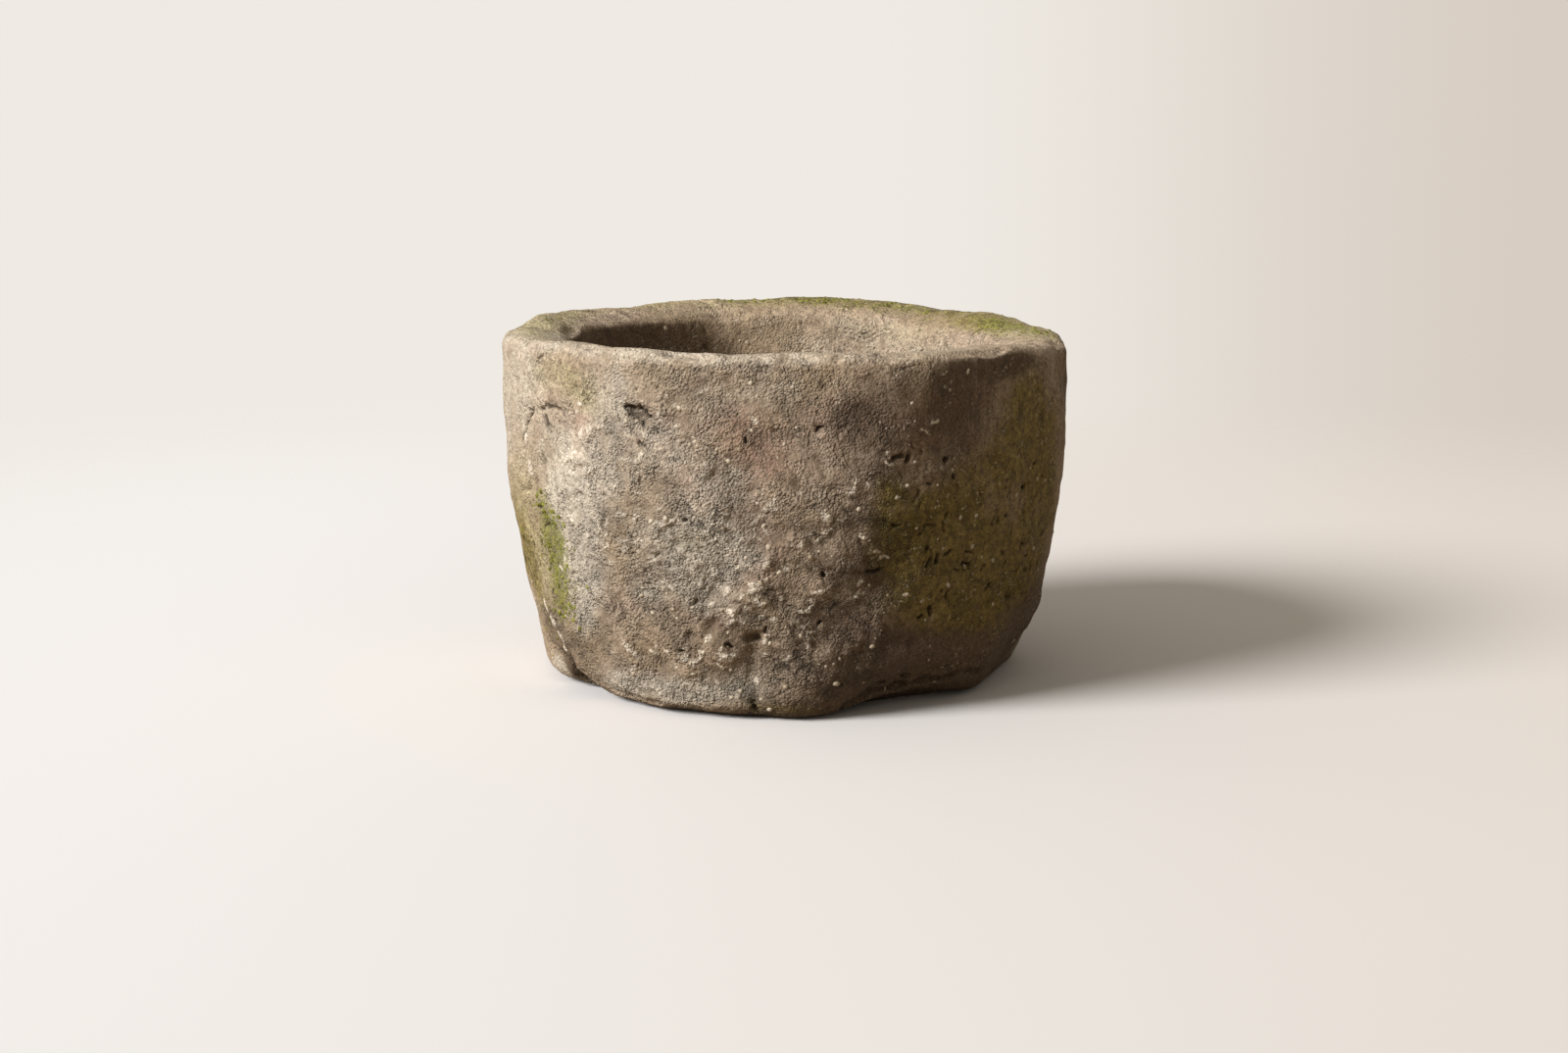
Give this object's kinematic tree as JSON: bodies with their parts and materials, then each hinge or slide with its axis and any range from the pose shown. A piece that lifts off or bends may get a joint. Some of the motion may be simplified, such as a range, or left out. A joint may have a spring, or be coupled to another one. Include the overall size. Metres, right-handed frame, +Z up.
{
  "type": "stone planter",
  "caption": "Round hewn sandstone planter with thick walls, a deep bowl, a worn lip and a drain hole through its floor.",
  "frame": {"origin": "on the ground, under the middle of the planter's outline", "axes": "+Z up through the mouth of the bowl, the planter's front towards -Y, +X to its right"},
  "size_m": [0.7612, 0.7634, 0.4799],
  "materials": {
    "weathered_sandstone": "rough weathered sandstone, dry and matt"
  },
  "bodies": {
    "root": {"stone_body": "weathered_sandstone"}
  },
  "joints": []
}
